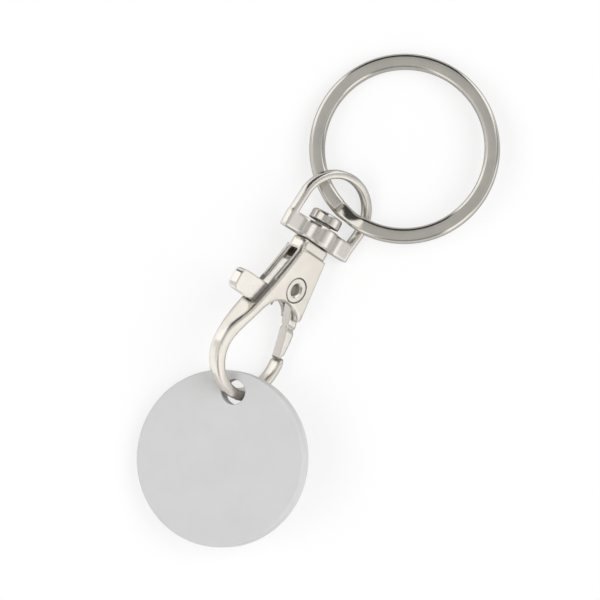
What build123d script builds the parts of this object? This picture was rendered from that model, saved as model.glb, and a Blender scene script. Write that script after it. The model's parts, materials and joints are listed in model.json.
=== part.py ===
from build123d import *
import math
import os

# Carabiner keyring with a trolley coin, lying as in the picture. Millimetres and degrees.
# Z is up, Y runs along the keyring from the coin to the split ring.
# While the pieces are made, X and Y start on the axis of the gate rivet.

# Blank trolley coin
coin_diameter = 23.25
coin_thickness = 2.35
coin_edge_round = 0.3
coin_hole_diameter = 3.3
coin_hole_wall = 1.1
coin_hole_chamfer = 0.12
coin_tilt_angle = 19.5
coin_uphill_heading = 21.0
coin_hole_heading = 107.0
coin_pass_share = (0.136, -0.940)

# Split ring: flat wire, wound twice
ring_diameter = 25.0
ring_wire_width = 2.0
ring_wire_height = 0.95
ring_turn_gap = 0.43
ring_wire_round = 0.3
ring_jog_angle = 22.0
ring_end_heading = 250.0
ring_tilt_angle = 6.0
ring_uphill_heading = 330.0
ring_pass_heading = 244.0
ring_pass_across = -0.026
ring_pass_drop = 2.92
ring_pass_depth = 0.9
ring_jog_steps = 6
ring_gap_steps = 720

# Clasp body: two cheeks with a slot between them, drawn out into the hook
clasp_height = 4.4
clasp_roll_angle = 46.0
clasp_dip_angle = 4.8
cheek_top = 5.1
cheek_top_left = 2.7
cheek_top_right = 2.42
cheek_corner_across = 3.57
cheek_corner_drop = 2.75
prong_drop = 3.5
prong_inner_across = 2.9
body_thickness = 3.3
slot_width = 1.5
slot_top = 4.85
slot_bottom = 4.35
slot_side_wall = 0.7
slot_side_open = 0.2

# Hook
hook_side = 7.04
hook_drop = 16.33
hook_width = 1.9
hook_thickness = 1.85
clasp_edge_round = 0.36
hook_taper_start = 4.8
hook_taper_end = 10.2
nose_lip_across = 4.9
nose_lip_drop = 8.42
nose_seat_across = 4.4
nose_seat_drop = 9.15

# Collar at the swivel end of the body
collar_height = 1.35
collar_thickness = 2.82
collar_corner_round = 0.75
collar_edge_round = 0.22

# Swivel rivet
shank_diameter = 2.2
head_diameter = 4.32
head_height = 1.35
head_edge_round = 0.35
head_play = 0.45

# Swivel loop
loop_roll_angle = 30.0
loop_base_width = 11.1
loop_base_height = 2.5
loop_base_corner_round = 0.35
loop_base_edge_round = 0.25
loop_boss_diameter = 5.0
loop_boss_blend = 1.8
loop_wire_width = 1.1
loop_wire_thickness = 1.5
loop_wire_round = 0.4
loop_reach = 10.46
loop_arch_radius = 5.1
loop_arch_lean = 0.35
loop_collar_gap = 0.15
swivel_clearance = 0.08

# Gate rivet, hollow at the front
pivot_shank_diameter = 2.0
pivot_head_diameter = 3.3
pivot_head_height = 0.38
pivot_head_round = 0.14
pivot_groove = 0.12
pivot_bore_diameter = 1.5
pivot_bore_depth = 1.0
pivot_funnel = 0.28
pivot_clearance = 0.06

# Gate lever: thumb tab, hub and gate in one flat piece
lever_side_clearance = 0.05
hub_diameter = 4.1
lever_strip_inset = 0.5
lever_top = 3.5
tab_reach = 9.6
tab_top = 1.2
tab_bottom = 4.15
tab_corner_round = 0.9
gate_seat_gap = 0.35
gate_end_inner_step = 0.25
gate_end_outer_step = 0.4
gate_notch_drop = 4.5
gate_notch_height = 0.95
gate_notch_depth = 0.36
lever_edge_round = 0.09

# Gate spring round the rivet, in a pocket in the back of the lever
spring_wire_diameter = 0.22
spring_coil_diameter = 2.86
spring_pitch = 0.28
spring_turns = 2.5
spring_leg_length = 2.2
spring_pocket_diameter = 3.55
spring_pocket_reach = 2.85
spring_pocket_depth = 1.05
spring_pocket_start_angle = -12.0
spring_pocket_end_angle = 198.0
spring_points_per_turn = 12

# Added length that cutting shapes run past the faces that they cut
overrun = 2.0

# Centre line of the hook from the shoulder to the nose: across in shares of hook_side,
# along in shares of hook_drop, and width in shares of hook_width.
hook_centre_shares = [
    (-0.739, -0.392, 0.82),
    (-0.817, -0.502, 0.98),
    (-0.862, -0.631, 1.00),
    (-0.821, -0.726, 0.92),
    (-0.689, -0.818, 0.80),
    (-0.433, -0.908, 0.70),
    (-0.192, -0.944, 0.70),
    (0.057, -0.956, 0.73),
    (0.298, -0.931, 0.73),
    (0.511, -0.854, 0.68),
    (0.653, -0.747, 0.62),
    (0.707, -0.631, 0.57),
]
# Left side of the cheeks above the hook, across in shares of hook_side and along of hook_drop
shoulder_shares = [(-0.495, 0.089), (-0.727, -0.239)]
# Arch under the cheeks from the hook's inner side to the prong, in the same shares
arch_shares = [
    (-0.547, -0.300),
    (-0.419, -0.202),
    (-0.256, -0.144),
    (-0.043, -0.121),
    (0.170, -0.136),
    (0.334, -0.175),
]
# Outer side of the nose between the last hook width and the lip, in the same shares
nose_side_shares = [(0.778, -0.580), (0.744, -0.537)]
# Outer and inner side of the gate below the hub, in the same shares
gate_outer_shares = [(0.270, 0.010), (0.455, -0.122), (0.568, -0.214), (0.625, -0.282), (0.675, -0.398)]
gate_inner_shares = [(0.504, -0.398), (0.410, -0.288), (0.327, -0.208), (0.235, -0.138), (0.140, -0.080)]
# Lower side of the lever from the thumb tab to the hub, in the same shares
lever_lower_shares = [(-0.540, -0.236), (-0.355, -0.150), (-0.170, -0.100)]


def rolled_plane(roll, dip, height):
    """Plane with X across, Y along the clasp and Z out of its front, rolled about Y, then dipped."""
    roll_sin = math.sin(math.radians(roll))
    roll_cos = math.cos(math.radians(roll))
    dip_sin = math.sin(math.radians(dip))
    dip_cos = math.cos(math.radians(dip))
    across = (roll_cos, -roll_sin * dip_sin, -roll_sin * dip_cos)
    outward = (roll_sin, roll_cos * dip_sin, roll_cos * dip_cos)
    return Plane(origin=(0, 0, height), x_dir=across, z_dir=outward)


def tilted_plane(centre, tilt, uphill, heading):
    """Plane of a disc whose uphill side lies towards one heading and whose X points to another."""
    tilt_sin = math.sin(math.radians(tilt))
    tilt_cos = math.cos(math.radians(tilt))
    normal = Vector(
        -tilt_sin * math.cos(math.radians(uphill)),
        -tilt_sin * math.sin(math.radians(uphill)),
        tilt_cos,
    )
    flat = Vector(math.cos(math.radians(heading)), math.sin(math.radians(heading)), 0)
    along = flat - normal * flat.dot(normal)
    return Plane(origin=centre, x_dir=along, z_dir=normal)


def hook_points(shares):
    """Points in the clasp's plane from shares of the hook's side and drop."""
    return [(across * hook_side, along * hook_drop) for across, along in shares]


def hook_side_points(side):
    """Points half a width to one side of the hook's centre line."""
    centres = [(across * hook_side, along * hook_drop) for across, along, _ in hook_centre_shares]
    widths = [width * hook_width for _, _, width in hook_centre_shares]
    points = []
    for index, (across, along) in enumerate(centres):
        before = centres[max(index - 1, 0)]
        after = centres[min(index + 1, len(centres) - 1)]
        run = math.dist(before, after)
        normal = ((after[1] - before[1]) / run, (before[0] - after[0]) / run)
        reach = side * widths[index] / 2
        points.append((across + normal[0] * reach, along + normal[1] * reach))
    return points


def shoulder_across(along):
    """Distance from the rivet axis to the body's left side at a height above the rivet."""
    corners = [(-cheek_top_left, cheek_top)] + hook_points(shoulder_shares)
    for upper, lower in zip(corners, corners[1:]):
        if along >= lower[1]:
            break
    share = (along - lower[1]) / (upper[1] - lower[1])
    return lower[0] + (upper[0] - lower[0]) * share


def arch_touch(foot, side):
    """Point where the straight leg from a foot of the loop meets its arch without a bend."""
    turn = math.acos(loop_arch_radius / math.dist(foot, arch_centre))
    heading = math.atan2(foot[1] - arch_centre[1], foot[0] - arch_centre[0]) + side * turn
    return (
        arch_centre[0] + loop_arch_radius * math.cos(heading),
        arch_centre[1] + loop_arch_radius * math.sin(heading),
    )


def cheek_right_across(along):
    """Distance from the rivet axis to the straight right side of the cheeks."""
    share = (cheek_top - along) / (cheek_top + cheek_corner_drop)
    return cheek_top_right + (cheek_corner_across - cheek_top_right) * share


clasp_plane = rolled_plane(clasp_roll_angle, clasp_dip_angle, clasp_height)
loop_plane = rolled_plane(loop_roll_angle, clasp_dip_angle, clasp_height)
clasp_along = clasp_plane.y_dir
half_thickness = body_thickness / 2

# Planes that look across the clasp, along it, and from above the rivet section
profile_plane = Plane(origin=clasp_plane.origin, x_dir=clasp_along, z_dir=clasp_plane.x_dir)
axis_plane = Plane(origin=clasp_plane.origin, x_dir=clasp_plane.x_dir, z_dir=clasp_along)
loop_axis_plane = Plane(origin=loop_plane.origin, x_dir=loop_plane.x_dir, z_dir=clasp_along)
rivet_plane = Plane(origin=clasp_plane.origin, x_dir=clasp_plane.x_dir, z_dir=-clasp_along)
back_plane = Plane(
    origin=clasp_plane.offset(-half_thickness).origin,
    x_dir=clasp_plane.x_dir,
    z_dir=-clasp_plane.z_dir,
)
clasp_axis = Axis(clasp_plane.origin, clasp_along)
pivot_axis = Axis(clasp_plane.origin, clasp_plane.z_dir)

collar_top = cheek_top + collar_height
loop_bottom = collar_top + loop_collar_gap
loop_shoulder = loop_bottom + loop_base_height
head_bottom = loop_shoulder + head_play
nose_lip = (nose_lip_across, -nose_lip_drop)
nose_seat = (nose_seat_across, -nose_seat_drop)

# Clasp body: outline of cheeks and hook, thinned towards the hook, then slotted
with BuildPart() as clasp_body:
    with BuildSketch(clasp_plane.offset(-half_thickness)):
        with BuildLine():
            cheek_corner = (cheek_corner_across, -cheek_corner_drop)
            cheek_slope = (cheek_corner_across - cheek_top_right, -cheek_corner_drop - cheek_top)
            prong_inner = (prong_inner_across, -prong_drop)
            outer_points = [(-cheek_top_left, cheek_top)]
            outer_points += hook_points(shoulder_shares)
            outer_points += hook_side_points(1)
            outer_points += hook_points(nose_side_shares)
            outer_points += [nose_lip]
            inner_points = [nose_seat]
            inner_points += reversed(hook_side_points(-1))
            inner_points += hook_points(arch_shares)
            inner_points += [prong_inner]
            Spline(outer_points)
            Line(nose_lip, nose_seat)
            Spline(inner_points)
            TangentArc(cheek_corner, prong_inner, tangent=cheek_slope)
            Polyline(cheek_corner, (cheek_top_right, cheek_top), (-cheek_top_left, cheek_top))
        make_face()
    extrude(amount=body_thickness)
    with BuildSketch(profile_plane):
        with BuildLine():
            hook_end = -hook_drop - overrun
            Line((cheek_top, half_thickness), (-hook_taper_start, half_thickness))
            Spline(
                (-hook_taper_start, half_thickness),
                (-hook_taper_end, hook_thickness / 2),
                tangents=[(-1, 0), (-1, 0)],
            )
            Line((-hook_taper_end, hook_thickness / 2), (hook_end, hook_thickness / 2))
            Line((hook_end, hook_thickness / 2), (hook_end, 0))
            Line((cheek_top, half_thickness), (cheek_top, 0))
            mirror(about=Plane.XZ)
        make_face()
    extrude(amount=hook_side + overrun, both=True, mode=Mode.INTERSECT)
    top_face = clasp_body.faces().sort_by(clasp_axis)[-1]
    side_edges = clasp_body.edges().filter_by(pivot_axis)
    seam_edges = clasp_body.edges().filter_by(Axis(clasp_plane.origin, clasp_plane.x_dir))
    fillet(clasp_body.edges() - side_edges - seam_edges - top_face.edges(), radius=clasp_edge_round)
    with BuildSketch(axis_plane.offset(cheek_top)):
        with Locations(((cheek_top_right - cheek_top_left) / 2, 0)):
            RectangleRounded(cheek_top_left + cheek_top_right, collar_thickness, collar_corner_round)
    extrude(amount=collar_height)
    fillet(clasp_body.faces().sort_by(clasp_axis)[-1].edges(), radius=collar_edge_round)
    with BuildSketch(clasp_plane.offset(-slot_width / 2)):
        with BuildLine():
            Polyline(
                (-hook_side - overrun, slot_top),
                (cheek_right_across(slot_top) - slot_side_wall, slot_top),
                (cheek_right_across(-slot_side_open) - slot_side_wall, -slot_side_open),
                (hook_side + overrun, -slot_side_open),
                (hook_side + overrun, -slot_bottom),
                (-hook_side - overrun, -slot_bottom),
                close=True,
            )
        make_face()
    extrude(amount=slot_width, mode=Mode.SUBTRACT)
    with Locations(clasp_plane.offset(half_thickness), back_plane):
        CounterBoreHole(
            radius=pivot_shank_diameter / 2,
            counter_bore_radius=pivot_head_diameter / 2 + pivot_groove,
            counter_bore_depth=pivot_head_height,
            depth=half_thickness,
        )
    with Locations(axis_plane.offset(collar_top)):
        Hole(radius=shank_diameter / 2, depth=collar_top - slot_top)

# Swivel rivet: its shank ends level with the slot's upper end
with BuildPart() as swivel_rivet:
    with BuildSketch(clasp_plane):
        with BuildLine():
            Polyline(
                (0, slot_top),
                (shank_diameter / 2, slot_top),
                (shank_diameter / 2, head_bottom),
                (head_diameter / 2, head_bottom),
                (head_diameter / 2, head_bottom + head_height),
                (0, head_bottom + head_height),
                close=True,
            )
        make_face()
    revolve(axis=clasp_axis)
    fillet(swivel_rivet.faces().sort_by(clasp_axis)[-1].edges(), radius=head_edge_round)

# Swivel loop: base bar with a boss for the rivet, and the bent wire that carries the ring
with BuildPart() as swivel_loop:
    loop_foot_across = (loop_base_width - loop_wire_width) / 2
    left_foot = (-loop_foot_across, loop_bottom + loop_base_height / 2)
    right_foot = (loop_foot_across, loop_bottom + loop_base_height / 2)
    arch_centre = (loop_arch_lean, loop_bottom + loop_reach - loop_wire_width / 2 - loop_arch_radius)
    arch_top = (loop_arch_lean, arch_centre[1] + loop_arch_radius)
    with BuildSketch(loop_axis_plane.offset(loop_bottom)) as loop_base:
        RectangleRounded(loop_base_width, loop_wire_thickness, loop_base_corner_round)
        Circle(loop_boss_diameter / 2)
        boss_corners = loop_base.vertices().filter_by_position(
            Axis.X, -loop_boss_diameter / 2, loop_boss_diameter / 2
        )
        fillet(boss_corners, radius=loop_boss_blend)
    extrude(amount=loop_base_height)
    base_faces = swivel_loop.faces().sort_by(clasp_axis)
    fillet(base_faces[0].edges() + base_faces[-1].edges(), radius=loop_base_edge_round)
    with BuildLine(loop_plane) as loop_path:
        Line(left_foot, arch_touch(left_foot, -1))
        ThreePointArc(arch_touch(left_foot, -1), arch_top, arch_touch(right_foot, 1))
        Line(arch_touch(right_foot, 1), right_foot)
    with BuildSketch(Plane(origin=loop_path.line @ 0, x_dir=loop_plane.x_dir, z_dir=loop_path.line % 0)):
        RectangleRounded(loop_wire_width, loop_wire_thickness, loop_wire_round)
    sweep(path=loop_path.line)
    with Locations(loop_axis_plane.offset(loop_shoulder)):
        Hole(radius=shank_diameter / 2 + swivel_clearance, depth=loop_base_height)

# Gate rivet: a head in each cheek and a blind bore behind a funnel at the front
with BuildPart() as pivot_rivet:
    with BuildSketch(rivet_plane):
        with BuildLine():
            Polyline(
                (0, -half_thickness),
                (pivot_head_diameter / 2, -half_thickness),
                (pivot_head_diameter / 2, pivot_head_height - half_thickness),
                (pivot_shank_diameter / 2, pivot_head_height - half_thickness),
                (pivot_shank_diameter / 2, half_thickness - pivot_head_height),
                (pivot_head_diameter / 2, half_thickness - pivot_head_height),
                (pivot_head_diameter / 2, half_thickness),
                (pivot_bore_diameter / 2 + pivot_funnel, half_thickness),
                (pivot_bore_diameter / 2, half_thickness - pivot_funnel),
                (pivot_bore_diameter / 2, half_thickness - pivot_bore_depth),
                (0, half_thickness - pivot_bore_depth),
                close=True,
            )
        make_face()
    revolve(axis=pivot_axis)
    head_rims = pivot_rivet.edges().filter_by(GeomType.CIRCLE)
    head_rims = head_rims.group_by(SortBy.RADIUS)[-1]
    outer_rims = [head_rims.sort_by(pivot_axis)[0], head_rims.sort_by(pivot_axis)[-1]]
    fillet(outer_rims, radius=pivot_head_round)

# Gate lever: hub, thumb tab through the slot, and gate down to the nose
lever_thickness = slot_width - 2 * lever_side_clearance
with BuildPart() as gate_lever:
    nose_run = math.dist(nose_seat, nose_lip)
    nose_along = ((nose_lip[0] - nose_seat[0]) / nose_run, (nose_lip[1] - nose_seat[1]) / nose_run)
    gate_end_inner = (
        nose_seat[0] - nose_along[1] * gate_seat_gap + nose_along[0] * gate_end_inner_step,
        nose_seat[1] + nose_along[0] * gate_seat_gap + nose_along[1] * gate_end_inner_step,
    )
    gate_end_outer = (
        nose_lip[0] - nose_along[1] * gate_seat_gap + nose_along[0] * gate_end_outer_step,
        nose_lip[1] + nose_along[0] * gate_seat_gap + nose_along[1] * gate_end_outer_step,
    )
    shoulder_along = shoulder_shares[0][1] * hook_drop
    with BuildSketch(clasp_plane.offset(-lever_thickness / 2)) as lever_outline:
        Circle(hub_diameter / 2)
        with BuildLine():
            gate_outer = Spline(hook_points(gate_outer_shares) + [gate_end_outer])
            gate_inner = Spline([gate_end_inner] + hook_points(gate_inner_shares))
            Line(gate_end_outer, gate_end_inner)
            Polyline(gate_inner @ 1, (0, 0), gate_outer @ 0)
        make_face()
        with BuildLine():
            Polyline(
                (0, 0),
                (shoulder_across(lever_top) / 2, lever_top),
                (shoulder_across(lever_top) + lever_strip_inset, lever_top),
                (shoulder_across(shoulder_along) + lever_strip_inset, shoulder_along),
                (shoulder_across(-tab_top) + lever_strip_inset, -tab_top),
                (-tab_reach, -tab_top),
                (-tab_reach, -tab_bottom),
                (shoulder_across(-tab_bottom) + lever_strip_inset, -tab_bottom),
                *hook_points(lever_lower_shares),
                close=True,
            )
        make_face()
        tab_corners = lever_outline.vertices().sort_by(Axis.X)[:2]
        fillet(tab_corners, radius=tab_corner_round)
    extrude(amount=lever_thickness)
    lever_rims = gate_lever.faces().sort_by(pivot_axis)
    rim_edges = lever_rims[0].edges() + lever_rims[-1].edges()
    fillet(rim_edges, radius=lever_edge_round)
    with BuildSketch(profile_plane):
        for face_side in (1, -1):
            with BuildLine():
                Polyline(
                    (-gate_notch_drop + gate_notch_height / 2, face_side * lever_thickness / 2),
                    (-gate_notch_drop, face_side * (lever_thickness / 2 - gate_notch_depth)),
                    (-gate_notch_drop - gate_notch_height / 2, face_side * lever_thickness / 2),
                    close=True,
                )
            make_face()
    extrude(amount=hook_side, mode=Mode.SUBTRACT)
    with BuildSketch(clasp_plane.offset(-lever_thickness / 2)):
        Circle(spring_pocket_diameter / 2)
        with BuildLine():
            pocket_arc = CenterArc(
                (0, 0),
                spring_pocket_reach,
                spring_pocket_start_angle,
                spring_pocket_end_angle - spring_pocket_start_angle,
            )
            Polyline(pocket_arc @ 1, (0, 0), pocket_arc @ 0)
        make_face()
    extrude(amount=spring_pocket_depth, mode=Mode.SUBTRACT)
    with Locations(clasp_plane.offset(lever_thickness / 2)):
        Hole(radius=pivot_shank_diameter / 2 + pivot_clearance, depth=lever_thickness)

# Gate spring: a left-hand coil that ends in two legs pointing towards the swivel
with BuildPart() as gate_spring:
    coil_radius = spring_coil_diameter / 2
    coil_top = spring_pitch * spring_turns
    coil_steps = round(spring_turns * spring_points_per_turn)
    coil_points = []
    for step in range(coil_steps + 1):
        turned = step / coil_steps * spring_turns
        heading = math.radians(-360 * turned)
        coil_points.append(
            (coil_radius * math.cos(heading), coil_radius * math.sin(heading), spring_pitch * turned)
        )
    spring_start = lever_side_clearance + spring_wire_diameter / 2 - lever_thickness / 2
    with BuildLine(clasp_plane.offset(spring_start)) as spring_path:
        Line((coil_radius, spring_leg_length, 0), (coil_radius, 0, 0))
        Spline(coil_points, tangents=[-clasp_along, clasp_along])
        Line((-coil_radius, 0, coil_top), (-coil_radius, spring_leg_length, coil_top))
    with BuildSketch(Plane(origin=spring_path.line @ 0, z_dir=spring_path.line % 0)):
        Circle(spring_wire_diameter / 2)
    sweep(path=spring_path.line)

# Split ring: two flat turns joined by a jog, each turn ending where the jog begins
ring_mean_radius = (ring_diameter - ring_wire_width) / 2
loop_inner_top = arch_top[1] - loop_wire_width / 2
ring_pass = loop_plane.from_local_coords(
    (ring_pass_across, loop_inner_top - ring_pass_drop, -ring_pass_depth)
)
ring_facing = tilted_plane((0, 0, 0), ring_tilt_angle, ring_uphill_heading, 0)
pass_turn = math.radians(ring_pass_heading)
pass_outward = ring_facing.x_dir * math.cos(pass_turn) + ring_facing.y_dir * math.sin(pass_turn)
ring_plane = Plane(
    origin=ring_pass - pass_outward * ring_mean_radius,
    x_dir=ring_facing.x_dir,
    z_dir=ring_facing.z_dir,
)
ring_axis = Axis(ring_plane.origin, ring_plane.z_dir)
turn_rise = ring_wire_height + ring_turn_gap
turn_angle = 360 - ring_jog_angle


def ring_level(angle):
    """Height of the wire's middle over the ring's middle plane, the angle counted from the jog."""
    share = min(max(angle / ring_jog_angle, 0), 1)
    return turn_rise * (share * share * (3 - 2 * share) - 1 / 2)


def ring_section_plane(angle, slope=0):
    """Plane across the wire at an angle from the jog, with X outwards and Y up, tipped by a slope."""
    heading = math.radians(ring_end_heading + angle)
    outward = ring_plane.x_dir * math.cos(heading) + ring_plane.y_dir * math.sin(heading)
    forward = ring_plane.y_dir * math.cos(heading) - ring_plane.x_dir * math.sin(heading)
    middle = ring_plane.origin + outward * ring_mean_radius + ring_plane.z_dir * ring_level(angle)
    return Plane(origin=middle, x_dir=outward, z_dir=-forward - ring_plane.z_dir * slope)


with BuildPart() as split_ring:
    with BuildSketch(ring_section_plane(-turn_angle)):
        RectangleRounded(ring_wire_width, ring_wire_height, ring_wire_round)
    revolve(axis=ring_axis, revolution_arc=turn_angle)
    with BuildSketch(ring_section_plane(ring_jog_angle)):
        RectangleRounded(ring_wire_width, ring_wire_height, ring_wire_round)
    revolve(axis=ring_axis, revolution_arc=turn_angle)
    for step in range(ring_jog_steps + 1):
        jog_share = step / ring_jog_steps
        jog_length = math.radians(ring_jog_angle) * ring_mean_radius
        jog_slope = 6 * jog_share * (1 - jog_share) * turn_rise / jog_length
        with BuildSketch(ring_section_plane(jog_share * ring_jog_angle, jog_slope)):
            RectangleRounded(ring_wire_width, ring_wire_height, ring_wire_round)
    loft()

# Least gap between the two turns, measured between points on the wire one turn apart
wire_points = []
for step in range(ring_gap_steps + 1):
    wire_angle = step * (2 * turn_angle + ring_jog_angle) / ring_gap_steps - turn_angle
    reach = Vector(ring_mean_radius, 0, 0).rotate(Axis.Z, wire_angle)
    wire_points.append((wire_angle, reach + Vector(0, 0, ring_level(wire_angle))))
least_gap = min(
    (late - early).length - ring_wire_height
    for early_angle, early in wire_points
    for late_angle, late in wire_points
    if late_angle - early_angle > 180
)
print(f"Least gap between the split ring's turns: {least_gap:.3f} mm")

# Trolley coin, threaded on the hook's lowest stretch
hook_pass = clasp_plane.from_local_coords((coin_pass_share[0] * hook_side, coin_pass_share[1] * hook_drop, 0))
hole_offset = coin_diameter / 2 - coin_hole_wall - coin_hole_diameter / 2
coin_facing = tilted_plane((0, 0, 0), coin_tilt_angle, coin_uphill_heading, coin_hole_heading)
coin_plane = Plane(
    origin=hook_pass - coin_facing.x_dir * hole_offset,
    x_dir=coin_facing.x_dir,
    z_dir=coin_facing.z_dir,
)
with BuildPart() as trolley_coin:
    with BuildSketch(coin_plane.offset(-coin_thickness / 2)):
        Circle(coin_diameter / 2)
        with Locations((hole_offset, 0)):
            Circle(coin_hole_diameter / 2, mode=Mode.SUBTRACT)
    extrude(amount=coin_thickness)
    coin_rims = trolley_coin.edges().filter_by(GeomType.CIRCLE).group_by(SortBy.RADIUS)
    chamfer(coin_rims[0], length=coin_hole_chamfer)
    coin_rims = trolley_coin.edges().filter_by(GeomType.CIRCLE).group_by(SortBy.RADIUS)
    fillet(coin_rims[-1], radius=coin_edge_round)

# Stand the whole keyring on its lowest point, with the middle of its outline over the origin
pieces = {
    "clasp_body": clasp_body,
    "swivel_rivet": swivel_rivet,
    "swivel_loop": swivel_loop,
    "pivot_rivet": pivot_rivet,
    "gate_lever": gate_lever,
    "gate_spring": gate_spring,
    "split_ring": split_ring,
    "trolley_coin": trolley_coin,
}
box = Compound([piece.part for piece in pieces.values()]).bounding_box()
stand = Location((-box.center().X, -box.center().Y, -box.min.Z))

os.makedirs("parts", exist_ok=True)
for name, piece in pieces.items():
    piece.part.move(stand)
    piece.part.label = name
    export_step(piece.part, f"parts/{name}.step")
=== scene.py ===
"""Dress the trolley coin keyring: finishes, wound ring, lever spine, table, light and camera."""

import json
import logging
import math
from dataclasses import dataclass, field
from enum import Enum
from typing import Any

import bpy
from mathutils import Matrix, Vector

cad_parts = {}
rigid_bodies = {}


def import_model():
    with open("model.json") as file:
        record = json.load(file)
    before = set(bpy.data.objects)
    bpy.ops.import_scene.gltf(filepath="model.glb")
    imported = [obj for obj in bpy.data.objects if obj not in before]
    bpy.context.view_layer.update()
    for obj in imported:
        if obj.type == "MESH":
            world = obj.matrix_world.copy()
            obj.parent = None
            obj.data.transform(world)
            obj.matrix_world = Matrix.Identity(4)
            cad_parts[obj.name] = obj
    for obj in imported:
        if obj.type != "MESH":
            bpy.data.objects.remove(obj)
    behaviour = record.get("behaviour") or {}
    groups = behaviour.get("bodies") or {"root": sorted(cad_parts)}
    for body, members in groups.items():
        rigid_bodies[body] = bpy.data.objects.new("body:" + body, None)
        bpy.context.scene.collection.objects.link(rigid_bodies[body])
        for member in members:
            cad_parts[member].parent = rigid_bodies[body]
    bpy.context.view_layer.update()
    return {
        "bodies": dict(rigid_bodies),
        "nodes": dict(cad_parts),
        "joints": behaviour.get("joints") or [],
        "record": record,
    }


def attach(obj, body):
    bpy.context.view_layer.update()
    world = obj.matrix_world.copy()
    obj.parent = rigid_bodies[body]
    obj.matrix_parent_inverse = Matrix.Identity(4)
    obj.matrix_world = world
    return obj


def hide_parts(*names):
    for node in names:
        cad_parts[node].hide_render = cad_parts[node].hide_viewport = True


Colour = tuple[float, float, float]
Place = tuple[float, float, float]
MILLIMETRE = 0.001
QUARTER_TURN = math.radians(90.0)
SMOOTH_ANGLE = math.radians(35.0)
log = logging.getLogger("keyring")


class Node(Enum):
    """The keyring's solids, by the names that they have in the frame."""

    CLASP_BODY = "clasp_body"
    SWIVEL_RIVET = "swivel_rivet"
    SWIVEL_LOOP = "swivel_loop"
    PIVOT_RIVET = "pivot_rivet"
    GATE_LEVER = "gate_lever"
    GATE_SPRING = "gate_spring"
    SPLIT_RING = "split_ring"
    TROLLEY_COIN = "trolley_coin"


def opaque(colour: Colour) -> tuple[float, ...]:
    """Give a colour the full cover that a colour socket wants.

    Args:
        colour: The colour.

    Returns:
        The colour with its cover.
    """
    return (*colour, 1.0)


def grey(level: float) -> tuple[float, ...]:
    """Give an opaque grey.

    Args:
        level: How light it is.

    Returns:
        The grey with its cover.
    """
    return opaque((level, level, level))


class NodeSheet:
    """A node tree with short calls that add nodes and join them."""

    def __init__(self, tree: bpy.types.NodeTree) -> None:
        """Keep the tree that the calls add to.

        Args:
            tree: A material's, world's or group's node tree.
        """
        self.tree = tree

    def add(
        self, kind: str, inputs: dict[Any, Any] | None = None, **settings: Any
    ) -> bpy.types.Node:
        """Add one node, set it up and feed it.

        Args:
            kind: The node's type name without its ShaderNode prefix, or its whole name.
            inputs: Socket name or number to a value, or to the output socket that feeds it.
            settings: Properties of the node itself.

        Returns:
            The new node.
        """
        whole = kind if kind.startswith("Node") else f"ShaderNode{kind}"
        node = self.tree.nodes.new(whole)
        for name, value in settings.items():
            setattr(node, name, value)
        for socket, value in (inputs or {}).items():
            if isinstance(value, bpy.types.NodeSocket):
                self.tree.links.new(value, node.inputs[socket])
            else:
                node.inputs[socket].default_value = value
        return node

    def link(self, value: bpy.types.NodeSocket, socket: bpy.types.NodeSocket) -> None:
        """Feed an input socket.

        Args:
            value: The output socket that feeds it.
            socket: The input socket.
        """
        self.tree.links.new(value, socket)

    def math(self, operation: str, first: Any, second: Any = 0.0) -> bpy.types.NodeSocket:
        """Join two values with one sum.

        Args:
            operation: Blender's name of the sum.
            first: The first value or output socket.
            second: The second value or output socket.

        Returns:
            The output socket of the sum.
        """
        return self.add("Math", {0: first, 1: second}, operation=operation).outputs[0]

    def dot(self, first: Any, second: Any) -> bpy.types.NodeSocket:
        """Multiply two vectors into one value.

        Args:
            first: The first vector or output socket.
            second: The second vector or output socket.

        Returns:
            The output socket of the product.
        """
        product = self.add("VectorMath", {0: first, 1: second}, operation="DOT_PRODUCT")
        return product.outputs["Value"]

    def way_from(self, point: Place) -> bpy.types.NodeSocket:
        """Find the way from a point to the place that is shaded.

        Args:
            point: The point in metres.

        Returns:
            The output socket with the way.
        """
        place = self.add("TexCoord").outputs["Object"]
        return self.add("VectorMath", {0: place, 1: point}, operation="SUBTRACT").outputs[0]

    def remap(
        self, value: Any, low: float, high: float, to_low: float = 0.0, to_high: float = 1.0
    ) -> bpy.types.NodeSocket:
        """Map one range of a value smoothly onto another.

        Args:
            value: The output socket to map.
            low: The value that becomes to_low.
            high: The value that becomes to_high.
            to_low: The result at and below low.
            to_high: The result at and above high.

        Returns:
            The output socket of the mapped value.
        """
        sockets = {"Value": value, "From Min": low, "From Max": high}
        sockets |= {"To Min": to_low, "To Max": to_high}
        return self.add("MapRange", sockets, interpolation_type="SMOOTHSTEP").outputs["Result"]

    def noise(
        self, place: Any, scale: float, detail: float = 2.0, roughness: float = 0.5
    ) -> bpy.types.NodeSocket:
        """Add plain noise.

        Args:
            place: The output socket with the place to read the noise at.
            scale: Waves in a metre.
            detail: Layers of finer noise.
            roughness: Strength of the finer layers.

        Returns:
            The output socket of the noise, about 0.5 on average.
        """
        sockets = {"Vector": place, "Scale": scale, "Detail": detail, "Roughness": roughness}
        return self.add("TexNoise", sockets).outputs["Fac"]

    def mix(self, share: Any, first: Any, second: Any) -> bpy.types.NodeSocket:
        """Mix two colours.

        Args:
            share: How much of the second colour shows.
            first: The first colour or output socket.
            second: The second colour or output socket.

        Returns:
            The output socket of the mixed colour.
        """
        return self.add("Mix", {0: share, 6: first, 7: second}, data_type="RGBA").outputs[2]


class Socket(Enum):
    """The kinds of value that a shared group takes in or puts out."""

    VALUE = "NodeSocketFloat"
    VECTOR = "NodeSocketVector"


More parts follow.
